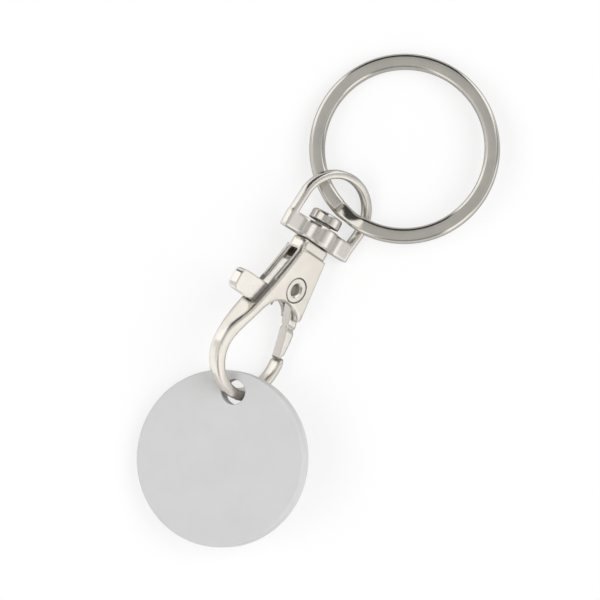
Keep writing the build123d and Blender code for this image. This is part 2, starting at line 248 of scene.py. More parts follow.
def new_group(
    name: str, inputs: dict[str, float], outputs: dict[str, Socket]
) -> tuple[NodeSheet, Any, Any]:
    """Start a shader group whose inputs are plain values.

    Args:
        name: The group's name.
        inputs: Each input's name and its usual value.
        outputs: Each output's name and kind.

    Returns:
        The group's sheet, its input node's outputs and its output node's inputs.
    """
    tree = bpy.data.node_groups.new(name, "ShaderNodeTree")
    for socket, value in inputs.items():
        made = tree.interface.new_socket(socket, in_out="INPUT", socket_type=Socket.VALUE.value)
        made.default_value = value
    for socket, kind in outputs.items():
        tree.interface.new_socket(socket, in_out="OUTPUT", socket_type=kind.value)
    sheet = NodeSheet(tree)
    return sheet, sheet.add("NodeGroupInput").outputs, sheet.add("NodeGroupOutput").inputs


@dataclass
class SharedEffects:
    """Shader groups that several finishes share."""

    ripple_size: float = 1.5 * MILLIMETRE
    grain_size: float = 0.1 * MILLIMETRE
    smudge_size: float = 3.0 * MILLIMETRE
    smudge_start: float = 0.42
    smudge_full: float = 0.66
    scratch_start: float = 0.62
    scratch_full: float = 0.72
    scratch_scale: float = 0.12
    scratch_turn: Place = (0.0, 0.3, 0.7)
    scratch_stretch: Place = (1.0, 16.0, 9.0)
    edge_start: float = 0.999
    edge_full: float = 0.93
    edge_samples: int = 8
    # Ambient occlusion ranges of the painted shade in hollows and seams.
    hollow_start: float = 0.8
    hollow_full: float = 0.2
    seam_reach: float = 0.35
    seam_start: float = 0.85
    seam_full: float = 0.45
    seam_shade_share: float = 0.8
    hollow_samples: int = 6
    groups: dict[str, bpy.types.NodeTree] = field(default_factory=dict)

    def build(self) -> None:
        """Make every shared group."""
        self.groups["edges"] = self.edges()
        self.groups["casting"] = self.casting()
        self.groups["handling"] = self.handling()
        self.groups["grime"] = self.grime()

    def edges(self) -> bpy.types.NodeTree:
        """Make the softened normal of a tumbled edge, and the mask that is 1 on the edges."""
        outputs = {"Normal": Socket.VECTOR, "Mask": Socket.VALUE}
        sheet, given, results = new_group("tumbled_edges", {"Radius": 0.2 * MILLIMETRE}, outputs)
        bevel = sheet.add("Bevel", {"Radius": given["Radius"]}, samples=self.edge_samples)
        rounded = bevel.outputs["Normal"]
        straight = sheet.add("NewGeometry").outputs["Normal"]
        mask = sheet.remap(sheet.dot(rounded, straight), self.edge_start, self.edge_full)
        sheet.link(rounded, results["Normal"])
        sheet.link(mask, results["Mask"])
        return sheet.tree

    def casting(self) -> bpy.types.NodeTree:
        """Make the height of a plated casting: slow ripples under the plate and a fine grain."""
        sheet, given, results = new_group("casting_skin", {"Grain": 0.2}, {"Height": Socket.VALUE})
        place = sheet.add("TexCoord").outputs["Object"]
        ripple = sheet.noise(place, 1 / self.ripple_size, detail=1.0)
        grain = sheet.noise(place, 1 / self.grain_size, detail=2.0)
        fine = sheet.math("MULTIPLY", grain, given["Grain"])
        sheet.link(sheet.math("ADD", ripple, fine), results["Height"])
        return sheet.tree

    def handling(self) -> bpy.types.NodeTree:
        """Make the mask of finger smudges and fine scratches that dull a surface."""
        outputs = {"Mask": Socket.VALUE}
        sheet, given, results = new_group("handling_marks", {"Scratches": 0.5}, outputs)
        place = sheet.add("TexCoord").outputs["Object"]
        smudge = sheet.noise(place, 1 / self.smudge_size, detail=3.0, roughness=0.6)
        smudge = sheet.remap(smudge, self.smudge_start, self.smudge_full)
        stretched = sheet.add(
            "Mapping",
            {"Vector": place, "Rotation": self.scratch_turn, "Scale": self.scratch_stretch},
        )
        lines = sheet.noise(stretched.outputs[0], self.scratch_scale / self.grain_size, detail=2.0)
        lines = sheet.remap(lines, self.scratch_start, self.scratch_full)
        lines = sheet.math("MULTIPLY", lines, given["Scratches"])
        sheet.link(sheet.math("MAXIMUM", smudge, lines), results["Mask"])
        return sheet.tree

    def grime(self) -> bpy.types.NodeTree:
        """Make the mask of painted shade in slots, bores and seams, from ambient occlusion."""
        outputs = {"Mask": Socket.VALUE}
        sheet, given, results = new_group("seam_grime", {"Reach": 0.7 * MILLIMETRE}, outputs)
        near = sheet.math("MULTIPLY", given["Reach"], self.seam_reach)
        hollow, seam = (
            sheet.add(
                "AmbientOcclusion", {"Distance": reach}, samples=self.hollow_samples
            ).outputs["AO"]
            for reach in (given["Reach"], near)
        )
        # Painted shade: deep hollows and narrow seams are both darkened.
        deep = sheet.remap(hollow, self.hollow_start, self.hollow_full)
        fine = sheet.remap(seam, self.seam_start, self.seam_full, 0.0, self.seam_shade_share)
        sheet.link(sheet.math("MAXIMUM", deep, fine), results["Mask"])
        return sheet.tree


@dataclass(frozen=True)
class NickelFinish:
    """Nickel plate: satin on the flat faces that were tumbled, bright on rounded edges."""

    name: str
    tint: Colour
    dull_tint: Colour
    satin_roughness: float
    bright_roughness: float
    ripple_height: float
    edge_radius: float = 0.15 * MILLIMETRE
    grain_share: float = 0.2
    # Strength and dark colour of the painted shade in hollows, seams and dark places.
    grime_share: float = 0.7
    shade_colour: Colour = (0.2, 0.175, 0.155)
    satin_facing: Place = (0.0, 0.0, 0.0)
    satin_start: float = 0.93
    satin_end: float = 0.985
    side_lean: float = 0.0
    side_end: float = 0.3
    front_start: float = 0.75
    mark_dulling: float = 0.05
    shade_dulling: float = 0.3
    cloud_size: float = 2.5 * MILLIMETRE
    cloud_start: float = 0.3
    cloud_full: float = 0.7

    def edge_size(self, sheet: NodeSheet) -> Any:
        """Give the radius that the edges are softened by.

        Args:
            sheet: The material's sheet.

        Returns:
            The radius in metres, or the output socket that varies it.
        """
        return self.edge_radius

    def material(self, effects: SharedEffects) -> bpy.types.Material:
        """Make the material.

        Args:
            effects: The shader groups that the finishes share.

        Returns:
            The finished material.
        """
        made = bpy.data.materials.new(self.name)
        made.use_nodes = True
        sheet = NodeSheet(made.node_tree)
        shader = made.node_tree.nodes["Principled BSDF"]
        edges = sheet.add("Group", node_tree=effects.groups["edges"])
        radius = self.edge_size(sheet)
        if isinstance(radius, bpy.types.NodeSocket):
            sheet.link(radius, edges.inputs["Radius"])
        else:
            edges.inputs["Radius"].default_value = radius
        marks = sheet.add("Group", node_tree=effects.groups["handling"]).outputs["Mask"]
        # Painted shade: ambient occlusion in hollows and seams, joined below with the finish's dark
        # places.
        grime = sheet.add("Group", node_tree=effects.groups["grime"]).outputs["Mask"]
        skin = sheet.add("Group", {"Grain": self.grain_share}, node_tree=effects.groups["casting"])
        place = sheet.add("TexCoord")
        flatness = sheet.math("ABSOLUTE", sheet.dot(place.outputs["Normal"], self.satin_facing))
        satin = sheet.remap(flatness, self.satin_start, self.satin_end)
        flat = sheet.math("SUBTRACT", 1.0, edges.outputs["Mask"])
        satin = sheet.math("MULTIPLY", satin, flat)
        grime = sheet.math("MAXIMUM", grime, self.dark_place(sheet))
        shade_amount = sheet.math("MULTIPLY", grime, self.grime_share)
        roughness = sheet.remap(satin, 0.0, 1.0, self.bright_roughness, self.satin_roughness)
        for mask, dulling in ((marks, self.mark_dulling), (shade_amount, self.shade_dulling)):
            roughness = sheet.math("ADD", roughness, sheet.math("MULTIPLY", mask, dulling))
        sheet.link(roughness, shader.inputs["Roughness"])
        cloud = sheet.noise(place.outputs["Object"], 1 / self.cloud_size, detail=3.0)
        cloud = sheet.remap(cloud, self.cloud_start, self.cloud_full)
        dulled = sheet.mix(cloud, opaque(self.tint), opaque(self.dull_tint))
        # Painted shade: the colour goes towards the dark shade colour there, and the metal is
        # turned off.
        shaded_colour = sheet.mix(shade_amount, dulled, opaque(self.shade_colour))
        sheet.link(shaded_colour, shader.inputs["Base Color"])
        sheet.link(sheet.remap(shade_amount, 0.0, 1.0, 1.0, 0.0), shader.inputs["Metallic"])
        bump = sheet.add(
            "Bump",
            {
                "Strength": 1.0,
                "Distance": self.ripple_height,
                "Height": skin.outputs["Height"],
                "Normal": self.leaning(sheet, edges.outputs["Normal"], flatness),
            },
        )
        sheet.link(bump.outputs["Normal"], shader.inputs["Normal"])
        return made

    def dark_place(self, sheet: NodeSheet) -> Any:
        """Give the share of painted shade that a place has for where it is.

        Args:
            sheet: The material's sheet.

        Returns:
            The share, or the output socket that varies it.
        """
        return 0.0

    def drafted(self, sheet: NodeSheet) -> Any:
        """Give the share of the lean that the sides have.

        Args:
            sheet: The material's sheet.

        Returns:
            The share, or the output socket that varies it.
        """
        return 1.0

    def leaning(self, sheet: NodeSheet, normal: Any, flatness: Any) -> Any:
        """Lean the normals of a casting's sides forwards, as the draft of its mould does.

        Args:
            sheet: The material's sheet.
            normal: The output socket with the softened normal.
            flatness: The output socket that is 1 on the flat faces and 0 on the sides.

        Returns:
            The output socket with the leaning normal.
        """
        side = sheet.remap(flatness, self.side_end, self.front_start, self.side_lean, 0.0)
        side = sheet.math("MULTIPLY", side, self.drafted(sheet))
        turned = sheet.add(
            "VectorTransform", {0: self.satin_facing}, vector_type="VECTOR",
            convert_from="OBJECT", convert_to="WORLD",
        )
        lean = sheet.add("VectorMath", {0: turned.outputs[0], "Scale": side}, operation="SCALE")
        leant = sheet.add("VectorMath", {0: normal, 1: lean.outputs[0]}, operation="ADD").outputs[0]
        return sheet.add("VectorMath", {0: leant}, operation="NORMALIZE").outputs[0]


@dataclass(frozen=True)
class ClaspFinish(NickelFinish):
    """Nickel on the clasp body, whose left front edge is rounded widely down to the hook."""

    pivot: Place = (0.0, 0.0, 0.0)
    across: Place = (1.0, 0.0, 0.0)
    along: Place = (0.0, 1.0, 0.0)
    wide_radius: float = 0.8 * MILLIMETRE
    left_top: float = 1.9 * MILLIMETRE
    left_height: float = 5.1 * MILLIMETRE
    left_slope: float = 0.22
    low_drop: float = 2.0 * MILLIMETRE
    fade: float = 0.35 * MILLIMETRE
    draft_drop: float = 4.3 * MILLIMETRE
    # Where the painted shade line at the collar's step and the thumb tab's painted shadow lie.
    step_height: float = 5.15 * MILLIMETRE
    step_width: float = 0.22 * MILLIMETRE
    step_shade: float = 0.7
    tab_top: float = 0.0 * MILLIMETRE
    tab_bottom: float = 4.2 * MILLIMETRE
    wall_full: float = 0.55
    wall_end: float = 0.75

    def edge_size(self, sheet: NodeSheet) -> Any:
        """Widen the rounding along the clasp's left edge, under the cheeks and on the hook.

        Args:
            sheet: The material's sheet.

        Returns:
            The output socket with the radius.
        """
        upwards = self.measured(sheet, self.along)
        left = self.left_edge(sheet)
        low = sheet.remap(upwards, -self.low_drop - self.fade, -self.low_drop, 1.0, 0.0)
        wide = sheet.math("MAXIMUM", left, low)
        return sheet.remap(wide, 0.0, 1.0, self.edge_radius, self.wide_radius)

    def left_edge(self, sheet: NodeSheet) -> Any:
        """Find the places left of the slanting line beside the cheek's left edge.

        Args:
            sheet: The material's sheet.

        Returns:
            The output socket that is 1 to the left of the line and 0 to its right.
        """
        drop = sheet.math("SUBTRACT", self.left_height, self.measured(sheet, self.along))
        slanted = sheet.math("MULTIPLY", drop, self.left_slope)
        aside = sheet.math("ADD", self.measured(sheet, self.across), slanted)
        return sheet.remap(aside, -self.left_top, self.fade - self.left_top, 1.0, 0.0)

    def dark_place(self, sheet: NodeSheet) -> Any:
        """Find where shade is painted: a dark line at the collar's step, and the painted shadow of
        the thumb tab on the clasp's left wall.

        Args:
            sheet: The material's sheet.

        Returns:
            The output socket with the share.
        """
        upwards = self.measured(sheet, self.along)
        left = self.left_edge(sheet)
        # Painted shade: a dark line along the collar's step, away from the wide left edge.
        off_step = sheet.math("ABSOLUTE", sheet.math("SUBTRACT", upwards, self.step_height))
        crease = sheet.remap(off_step, self.step_width / 2, self.step_width, self.step_shade, 0.0)
        crease = sheet.math("MULTIPLY", crease, sheet.math("SUBTRACT", 1.0, left))
        # Painted shadow of the thumb tab on the left wall beside it.
        facing = sheet.dot(sheet.add("NewGeometry").outputs["Normal"], self.satin_facing)
        wall = sheet.remap(facing, self.wall_full, self.wall_end, 1.0, 0.0)
        tab_shadow = sheet.math("MULTIPLY", left, wall)
        below = sheet.remap(upwards, -self.tab_top - self.fade, -self.tab_top, 1.0, 0.0)
        above = sheet.remap(upwards, -self.tab_bottom - self.fade, -self.tab_bottom)
        tab_shadow = sheet.math("MULTIPLY", tab_shadow, sheet.math("MULTIPLY", below, above))
        return sheet.math("MAXIMUM", crease, tab_shadow)

    def measured(self, sheet: NodeSheet, direction: Place) -> Any:
        """Measure the distance from the gate's pivot in one direction.

        Args:
            sheet: The material's sheet.
            direction: The direction.

        Returns:
            The output socket with the distance.
        """
        return sheet.dot(sheet.way_from(self.pivot), direction)

    def drafted(self, sheet: NodeSheet) -> Any:
        """Let the cheeks' sides lean and the hook's sides stand straight.

        Args:
            sheet: The material's sheet.

        Returns:
            The output socket with the share.
        """
        return sheet.remap(self.measured(sheet, self.along), -self.draft_drop, -self.draft_drop / 2)


@dataclass(frozen=True)
class BoredFinish(NickelFinish):
    """Nickel on the gate rivet, with painted shade inside its blind bore."""

    pivot: Place = (0.0, 0.0, 0.0)
    bore_radius: float = 0.76 * MILLIMETRE
    bore_fade: float = 0.08 * MILLIMETRE

    def dark_place(self, sheet: NodeSheet) -> Any:
        """Find the inside of the bore, where shade is painted.

        Args:
            sheet: The material's sheet.

        Returns:
            The output socket that is 1 inside the bore and 0 round it.
        """
        # Painted shade: everything within the bore's radius is darkened.
        aside = sheet.add(
            "VectorMath",
            {0: sheet.way_from(self.pivot), 1: self.satin_facing},
            operation="CROSS_PRODUCT",
        )
        radius = sheet.add("VectorMath", {0: aside.outputs[0]}, operation="LENGTH").outputs["Value"]
        return sheet.remap(radius, self.bore_radius - self.bore_fade, self.bore_radius, 1.0, 0.0)


@dataclass(frozen=True)
class CoinFinish:
    """Moulded plastic of the coin: matte, with a fine grain, faint clouds in its colour and a
    painted highlight on its rounded edges.
    """

    name: str
    colour: Colour
    cloud_colour: Colour
    # Lighter colour of the painted highlight on the coin's rounded edges.
    rim_highlight_colour: Colour
    roughness: float
    grain_height: float
    glow_share: float = 0.12
    glow_depth: float = 0.5 * MILLIMETRE
    shine: float = 0.35
    scratches: float = 0.3
    mark_polish: float = 0.08
    cloud_scale: float = 0.22 / MILLIMETRE
    cloud_start: float = 0.3
    cloud_full: float = 0.7
    grain_scale: float = 9.0 / MILLIMETRE

    def material(self, effects: SharedEffects) -> bpy.types.Material:
        """Make the material.

        Args:
            effects: The shader groups that the finishes share.

        Returns:
            The finished material.
        """
        made = bpy.data.materials.new(self.name)
        made.use_nodes = True
        sheet = NodeSheet(made.node_tree)
        shader = made.node_tree.nodes["Principled BSDF"]
        shader.inputs["Subsurface Weight"].default_value = self.glow_share
        shader.inputs["Subsurface Radius"].default_value = (1.0, 1.0, 1.0)
        shader.inputs["Subsurface Scale"].default_value = self.glow_depth
        shader.inputs["Specular IOR Level"].default_value = self.shine
        place = sheet.add("TexCoord").outputs["Object"]
        edges = sheet.add("Group", node_tree=effects.groups["edges"])
        handled = effects.groups["handling"]
        marks = sheet.add("Group", {"Scratches": self.scratches}, node_tree=handled).outputs["Mask"]
        cloud = sheet.noise(place, self.cloud_scale, detail=4.0, roughness=0.6)
        cloud = sheet.remap(cloud, self.cloud_start, self.cloud_full)
        clouded = sheet.mix(cloud, opaque(self.colour), opaque(self.cloud_colour))
        # Painted highlight: the rounded edges get the lighter rim colour.
        rim_highlighted = sheet.mix(edges.outputs["Mask"], clouded, opaque(self.rim_highlight_colour))
        sheet.link(rim_highlighted, shader.inputs["Base Color"])
        polished = self.roughness - self.mark_polish
        roughness = sheet.remap(marks, 0.0, 1.0, self.roughness, polished)
        sheet.link(roughness, shader.inputs["Roughness"])
        bump = sheet.add(
            "Bump",
            {
                "Strength": 1.0,
                "Distance": self.grain_height,
                "Height": sheet.noise(place, self.grain_scale, detail=2.0),
                "Normal": edges.outputs["Normal"],
            },
        )
        sheet.link(bump.outputs["Normal"], shader.inputs["Normal"])
        return made


def dress(node: Node, frame: dict[str, Any], material: bpy.types.Material) -> None:
    """Give one of the frame's solids its finish.

    Args:
        node: The solid.
        frame: The loaded frame.
        material: The finish.
    """
    solid = frame["nodes"][node.value]
    solid.data.materials.clear()
    solid.data.materials.append(material)
    log.info("dressed %s with %s", node.value, material.name)


def joint_axis(frame: dict[str, Any], name: str) -> Vector:
    """Find the direction of a joint.

    Args:
        frame: The loaded frame.
        name: The joint's name.

    Returns:
        The joint's direction at rest.
    """
    found = next(joint for joint in frame["joints"] if joint["name"] == name)
    return Vector(found["axis"]).normalized()


def joint_place(frame: dict[str, Any], name: str) -> Vector:
    """Find a point on a joint's axis.

    Args:
        frame: The loaded frame.
        name: The joint's name.

    Returns:
        The point in metres.
    """
    found = next(joint for joint in frame["joints"] if joint["name"] == name)
    return Vector(found["pos_m"])


def clasp_axes(frame: dict[str, Any]) -> tuple[Vector, Vector, Vector]:
    """Find the clasp's own directions at rest.

    Args:
        frame: The loaded frame.

    Returns:
        The directions across the clasp, along it towards the swivel, and out of its front.
    """
    along = joint_axis(frame, "loop_swivel")
    front = -joint_axis(frame, "gate_pivot")
    return along.cross(front), along, front


def mount(frame: dict[str, Any], name: str) -> tuple[Vector, Vector]:
    """Find the place and direction of a mount.

    Args:
        frame: The loaded frame.
        name: The mount's name.

    Returns:
        The mount's place in metres and its direction.
    """
    found = next(entry for entry in frame["record"]["mounts"] if entry["name"] == name)
    return Vector(found["pos_m"]), Vector(found["axis"]).normalized()


def deselect_all() -> None:
    """Leave nothing selected and nothing active."""
    for thing in bpy.context.selected_objects:
        thing.select_set(False)
    bpy.context.view_layer.objects.active = None


@dataclass
class Clasp:
    """The clasp body with the gate rivet and the hidden gate spring."""

    satin_roughness: float = 0.3

    def build(self, frame: dict[str, Any], effects: SharedEffects) -> None:
        """Dress the clasp's solids.

        Args:
            frame: The loaded frame.
            effects: The shader groups that the finishes share.
        """
        across, along, front = clasp_axes(frame)
        pivot = tuple(joint_place(frame, "gate_pivot"))
        body = ClaspFinish(
            "clasp_nickel", (0.89, 0.845, 0.77), (0.85, 0.8, 0.725), self.satin_roughness, 0.13,
            0.004 * MILLIMETRE, satin_facing=tuple(front), side_lean=0.2,
            # Dark colour and strength of the painted shade.
            shade_colour=(0.07, 0.06, 0.052), grime_share=0.85,
            pivot=pivot, across=tuple(across), along=tuple(along),
        )
        rivet = BoredFinish(
            "gate_rivet_nickel", (0.84, 0.8, 0.74), (0.78, 0.74, 0.68), 0.24, 0.16,
            0.003 * MILLIMETRE, satin_facing=tuple(front), pivot=pivot,
            # Dark colour and strength of the painted shade in the bore and seams.
            shade_colour=(0.24, 0.215, 0.185), grime_share=0.9,
        )
        spring = NickelFinish(
            "spring_steel", (0.5, 0.49, 0.48), (0.42, 0.41, 0.4), 0.3, 0.26, 0.001 * MILLIMETRE,
        )
        dress(Node.CLASP_BODY, frame, body.material(effects))
        dress(Node.PIVOT_RIVET, frame, rivet.material(effects))
        dress(Node.GATE_SPRING, frame, spring.material(effects))


@dataclass
class Gate:
    """The gate lever with its thumb tab, and its spine in the clasp's slot."""

    spine_line: tuple[tuple[float, float], ...] = (
        (-4.24 * MILLIMETRE, -1.3 * MILLIMETRE),
        (-3.8 * MILLIMETRE, 0.15 * MILLIMETRE),
        (-3.42 * MILLIMETRE, 1.5 * MILLIMETRE),
        (-3.08 * MILLIMETRE, 2.95 * MILLIMETRE),
    )
    spine_depth: float = 0.6 * MILLIMETRE
    spine_thickness: float = 1.36 * MILLIMETRE
    spine_round: float = 0.1 * MILLIMETRE
    round_segments: int = 4

    def build(self, frame: dict[str, Any], effects: SharedEffects) -> None:
        """Dress the gate lever and give it its spine.

        Args:
            frame: The loaded frame.
            effects: The shader groups that the finishes share.
        """
        across, along, front = clasp_axes(frame)
        lever = NickelFinish(
            "lever_nickel", (0.89, 0.85, 0.79), (0.85, 0.81, 0.745), 0.26, 0.12,
            0.004 * MILLIMETRE, edge_radius=0.4 * MILLIMETRE, satin_facing=tuple(front),
            # Dark colour and strength of the painted shade.
            side_lean=0.2, shade_colour=(0.12, 0.105, 0.09), grime_share=0.85,
        )
        back = NickelFinish(
            "spine_nickel", (0.9, 0.87, 0.82), (0.86, 0.83, 0.77), 0.2, 0.16,
            # Weak painted shade on the spine.
            0.004 * MILLIMETRE, edge_radius=0.1 * MILLIMETRE, grime_share=0.2,
        )
        dress(Node.GATE_LEVER, frame, lever.material(effects))
        spine = self.spine()
        basis = Matrix((across, along, front)).transposed().to_4x4()
        spine.matrix_world = Matrix.Translation(joint_place(frame, "gate_pivot")) @ basis
        bpy.ops.object.transform_apply(location=True, rotation=True, scale=True)
        spine.data.materials.append(back.material(effects))
        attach(spine, "gate")

    def spine(self) -> bpy.types.Object:
        """Make the lever's spine, which closes the slot between the thumb tab and the swivel.

        Returns:
            The spine, with X across the clasp, Y along it and the gate's pivot at the origin.
        """
        deselect_all()
        (foot_across, foot_along), *rest = self.spine_line
        bpy.ops.mesh.primitive_plane_add(
            size=1.0,
            location=(foot_across + self.spine_depth / 2, foot_along, 0.0),
            rotation=(QUARTER_TURN, 0.0, 0.0),
        )
        bar = bpy.context.object
        bar.name = "lever_spine"
        bar.scale = (self.spine_depth, self.spine_thickness, 1.0)
        bpy.ops.object.transform_apply(location=True, rotation=True, scale=True)
        bpy.ops.object.mode_set(mode="EDIT")
        bpy.ops.mesh.select_all(action="SELECT")
        before_across, before_along = foot_across, foot_along
        for across, along in rest:
            step = (across - before_across, along - before_along, 0.0)
            bpy.ops.mesh.extrude_region_move(TRANSFORM_OT_translate={"value": step})
            before_across, before_along = across, along
        bpy.ops.mesh.select_all(action="SELECT")
        bpy.ops.mesh.normals_make_consistent(inside=False)
        bpy.ops.mesh.bevel(
            offset=self.spine_round, segments=self.round_segments,
            affect="EDGES", clamp_overlap=True,
        )
        bpy.ops.object.mode_set(mode="OBJECT")
        bpy.ops.object.shade_smooth_by_angle(angle=SMOOTH_ANGLE)
        return bar


@dataclass
class Swivel:
    """The swivel loop and the rivet that holds it to the clasp."""

    loop_turn: float = math.radians(-16.0)

    def build(self, frame: dict[str, Any], effects: SharedEffects) -> None:
        """Dress the swivel's solids.

        Args:
            frame: The loaded frame.
            effects: The shader groups that the finishes share.
        """
        along, front = clasp_axes(frame)[1:]
        loop_front = Matrix.Rotation(self.loop_turn, 3, along) @ front
        loop = NickelFinish(
            "loop_nickel", (0.81, 0.77, 0.71), (0.88, 0.845, 0.785), 0.22, 0.16,
            0.008 * MILLIMETRE, edge_radius=0.6 * MILLIMETRE, satin_facing=tuple(loop_front),
            # Dark colour and strength of the painted shade.
            side_lean=0.25, shade_colour=(0.08, 0.07, 0.06), grime_share=0.85,
        )
        rivet = NickelFinish(
            "swivel_rivet_nickel", (0.82, 0.785, 0.73), (0.75, 0.715, 0.66), 0.16, 0.14,
            # Dark colour and strength of the painted shade under and around the rivet head.
            0.005 * MILLIMETRE, edge_radius=0.25 * MILLIMETRE, shade_colour=(0.06, 0.052, 0.045),
            grime_share=0.95,
        )
        dress(Node.SWIVEL_LOOP, frame, loop.material(effects))
        dress(Node.SWIVEL_RIVET, frame, rivet.material(effects))


@dataclass
class SplitRing:
    """The split ring, wound as tightly as the real one."""

    diameter: float = 25.0 * MILLIMETRE
    wire_width: float = 2.0 * MILLIMETRE
    wire_height: float = 1.12 * MILLIMETRE
    turn_gap: float = 0.05 * MILLIMETRE
    wire_round: float = 0.48 * MILLIMETRE
    round_segments: int = 7
    end_heading: float = math.radians(250.0)
    jog_angle: float = math.radians(22.0)
    jog_twist: float = math.radians(-26.0)
    turn_steps: int = 169
    jog_steps: int = 22
    satin_start: float = 0.985
    satin_end: float = 0.998

    def place(self, frame: dict[str, Any]) -> Matrix:
        """Work out where the ring lies, with X towards the jog's start and Z along the ring's axis.

        Args:
            frame: The loaded frame.

        Returns:
            The matrix from the ring's own frame to the keyring's.
        """
        centre, axis = mount(frame, "key_ring")
        sideways = (Vector((1.0, 0.0, 0.0)) - axis * axis.x).normalized()
        forward = axis.cross(sideways)
        basis = Matrix((sideways, forward, axis)).transposed().to_4x4()
        return Matrix.Translation(centre) @ basis @ Matrix.Rotation(self.end_heading, 4, "Z")

    def wind(self, steps: int, angle: float, rise: float) -> None:
        """Draw the selected end of the wire on round the ring's axis.

        Args:
            steps: The number of stretches.
            angle: How far round the wire goes.
            rise: How far the end rises.
        """
        bpy.ops.mesh.spin(steps=steps, angle=angle, center=(0.0, 0.0, 0.0), axis=(0.0, 0.0, -1.0))
        bpy.ops.transform.translate(value=(0.0, 0.0, rise))

    def twist(self, heading: float, angle: float) -> None:
        """Roll the selected end of the wire about its own length.

        Args:
            heading: Where round the ring's axis the end is.
            angle: How far its top leans outwards.
        """
        tangent = Vector((-math.sin(heading), math.cos(heading), 0.0))
        outwards = Vector((math.cos(heading), math.sin(heading), 0.0))
        frame = Matrix((outwards, tangent.cross(outwards), tangent)).transposed()
        bpy.ops.transform.rotate(
            value=-angle, orient_axis="Z", orient_type="GLOBAL",
            orient_matrix=frame, orient_matrix_type="GLOBAL",
        )

    def build(self, frame: dict[str, Any], effects: SharedEffects) -> None:
        """Wind the ring, finish it and put it in the place of the solid one.

        Args:
            frame: The loaded frame.
            effects: The shader groups that the finishes share.
        """
        deselect_all()
        middle = (self.diameter - self.wire_width) / 2
        turn_rise = self.wire_height + self.turn_gap
        turn_angle = math.tau - self.jog_angle
        bpy.ops.mesh.primitive_plane_add(
            size=1.0, location=(middle, 0.0, -turn_rise / 2), rotation=(QUARTER_TURN, 0.0, 0.0)
        )
        ring = bpy.context.object
        ring.name = "wound_split_ring"
        ring.scale = (self.wire_width, self.wire_height, 1.0)
        bpy.ops.object.transform_apply(location=True, rotation=True, scale=True)
        bpy.ops.object.mode_set(mode="EDIT")
        bpy.ops.mesh.select_all(action="SELECT")
        bpy.ops.mesh.bevel(
            offset=self.wire_round, segments=self.round_segments,
            affect="VERTICES", clamp_overlap=False,
        )
        self.wind(self.turn_steps, turn_angle, 0.0)
        risen = leaned = 0.0
        for step in range(1, self.jog_steps + 1):
            share = step / self.jog_steps
            height = turn_rise * share * share * (3 - 2 * share)
            lean = self.jog_twist * math.sin(math.pi * share) ** 2
            self.wind(1, self.jog_angle / self.jog_steps, height - risen)
            self.twist(turn_angle + self.jog_angle * share, lean - leaned)
            risen, leaned = height, lean
        self.wind(self.turn_steps, turn_angle, 0.0)
        bpy.ops.mesh.select_all(action="SELECT")
        bpy.ops.mesh.normals_make_consistent(inside=False)
        bpy.ops.object.mode_set(mode="OBJECT")
        ring.matrix_world = self.place(frame) @ Matrix.Rotation(-turn_angle, 4, "Z")
        bpy.ops.object.transform_apply(location=True, rotation=True, scale=True)
        bpy.ops.object.shade_smooth_by_angle(angle=SMOOTH_ANGLE)
        finish = NickelFinish(
            "ring_nickel", (0.785, 0.75, 0.685), (0.72, 0.69, 0.625), 0.3, 0.1,
            0.003 * MILLIMETRE, satin_facing=tuple(mount(frame, "key_ring")[1]),
            satin_start=self.satin_start, satin_end=self.satin_end,
        )
        ring.data.materials.append(finish.material(effects))
        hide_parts(Node.SPLIT_RING.value)
        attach(ring, "ring")
        log.info("wound %s with %d faces", ring.name, len(ring.data.polygons))


@dataclass
class TrolleyCoin:
    """The blank coin that is threaded on the hook."""

    def build(self, frame: dict[str, Any], effects: SharedEffects) -> None:
        """Dress the coin.

        Args:
            frame: The loaded frame.
            effects: The shader groups that the finishes share.
        """
        finish = CoinFinish(
            # Its third colour is the painted highlight on the rounded edges.
            "coin_plastic", (0.585, 0.585, 0.585), (0.605, 0.605, 0.605), (0.74, 0.74, 0.74),
            0.55, 0.004 * MILLIMETRE,
        )
        dress(Node.TROLLEY_COIN, frame, finish.material(effects))


def sky_direction(heading: float, elevation: float) -> Vector:
    """Find the direction of a point in the sky.

    Args:
        heading: Degrees from the frame's X axis towards its Y axis.
        elevation: Degrees above the table.

    Returns:
        The direction, one long.
    """
    turn, lift = math.radians(heading), math.radians(elevation)
    flat = math.cos(lift)
    return Vector((math.cos(turn) * flat, math.sin(turn) * flat, math.sin(lift)))


@dataclass(frozen=True)
class SkyPanel:
    """A soft-edged panel of light or shade far outside the picture, in degrees."""

    heading: float
    half_width: float
    bottom: float
    top: float
    level: float
    side_fade: float = 2.0
    end_fade: float = 6.0

    def share(self, sheet: NodeSheet, heading: Any, elevation: Any) -> Any:
        """Work out how much of a direction's light is this panel's.

        Args:
            sheet: The sky's sheet.
            heading: The output socket with the direction's heading in degrees.
            elevation: The output socket with the direction's elevation in degrees.

        Returns:
            The output socket with the share.
        """
        off = sheet.math("SUBTRACT", heading, self.heading)
        turned = sheet.add("Math", {0: off, 1: 180.0, 2: -180.0}, operation="WRAP").outputs[0]
        within = sheet.remap(
            sheet.math("ABSOLUTE", turned),
            self.half_width - self.side_fade, self.half_width + self.side_fade, 1.0, 0.0,
        )
        fade = self.end_fade
        above = sheet.remap(elevation, self.bottom - fade, self.bottom + fade)
        below = sheet.remap(elevation, self.top - fade, self.top + fade, 1.0, 0.0)
        return sheet.math("MULTIPLY", within, sheet.math("MULTIPLY", above, below))


@dataclass(frozen=True)
class SoftLamp:
    """A large lamp behind a diffuser."""

    name: str
    heading: float
    elevation: float
    width: float
    watts: float

    def direction(self) -> Vector:
        """Find the direction of the lamp."""
        return sky_direction(self.heading, self.elevation)


